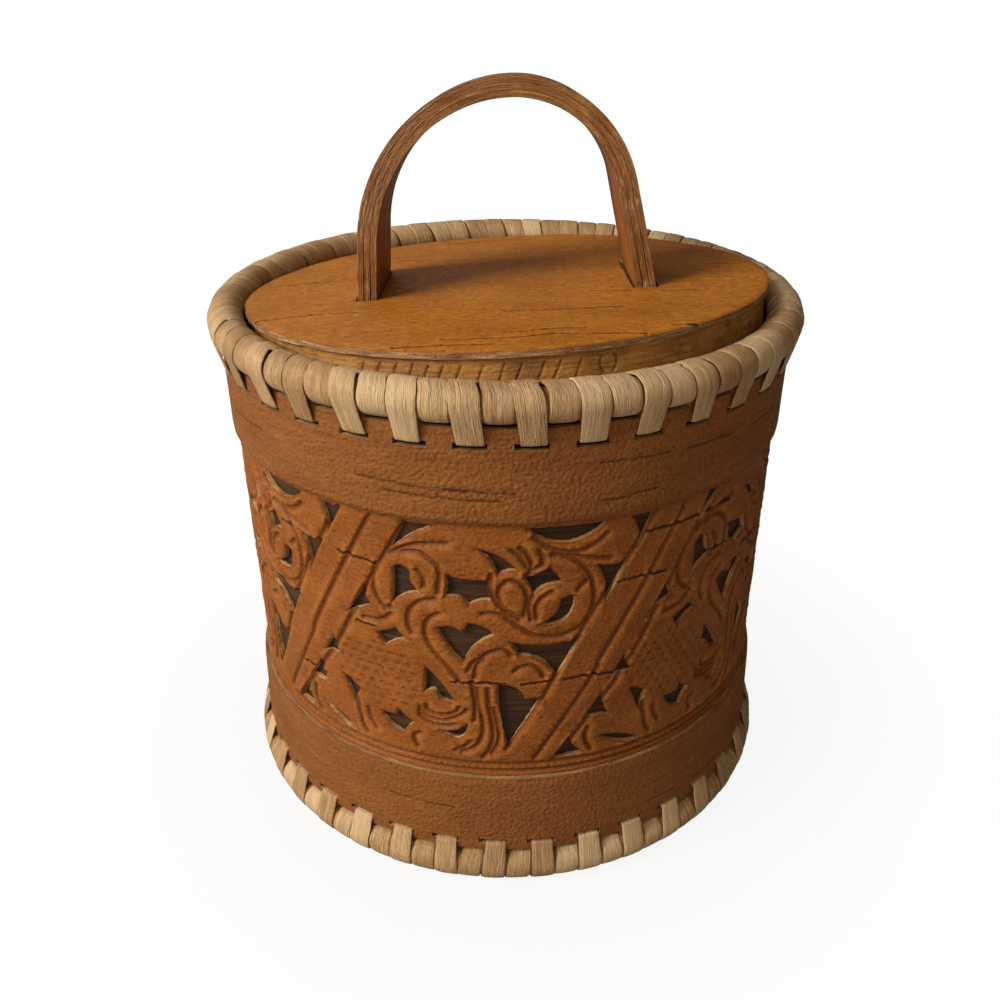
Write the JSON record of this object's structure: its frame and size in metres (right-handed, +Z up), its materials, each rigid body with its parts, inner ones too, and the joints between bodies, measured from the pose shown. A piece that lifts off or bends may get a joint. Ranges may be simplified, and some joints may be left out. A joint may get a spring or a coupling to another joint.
{
  "type": "birch bark box",
  "caption": "Round birch bark box with a carved openwork wall, laced rims and a lift-off lid with a bent strap handle, for keeping dry food.",
  "frame": {"origin": "middle of the foot, on the plane that the box stands on", "axes": "+Z up along the axis of the box, -Y towards the front of the picture, +X to its right along the bend of the handle"},
  "size_m": [0.1424, 0.1424, 0.1738],
  "materials": {
    "carved_bark": "satin inner side of birch bark, carved and pressed",
    "band_bark": "matte scraped birch bark",
    "liner_bark": "dark matte bark",
    "lacing": "split root, scraped, soft sheen",
    "hoop": "bent withe, unfinished",
    "board": "planed softwood",
    "lid_bark": "satin inner side of birch bark",
    "collar_bark": "matte bark, pricked",
    "handle_bark": "laminated bark, fibrous edges",
    "peg": "whittled softwood"
  },
  "bodies": {
    "box": {"bottom_board": "board", "inner_wall": "liner_bark", "carved_wall": "carved_bark", "upper_band": "band_bark", "lower_band": "band_bark", "rim_hoop_outer": "hoop", "rim_hoop_inner": "hoop", "rim_lacing_long": "lacing", "rim_lacing_short": "lacing", "foot_hoop_outer": "hoop", "foot_hoop_inner": "hoop", "foot_lacing_long": "lacing", "foot_lacing_short": "lacing"},
    "lid": {"lid_sheet": "lid_bark", "lid_core": "board", "lid_collar": "collar_bark", "lid_lining": "lid_bark", "handle_outer_ply": "handle_bark", "handle_core_ply": "handle_bark", "handle_inner_ply": "handle_bark", "handle_pegs": "peg"}
  },
  "joints": [
    {"name": "lid_lift", "type": "slide", "parent": "box", "child": "lid", "axis": [0, 0, 1], "range_m": [0, 0.04]}
  ]
}
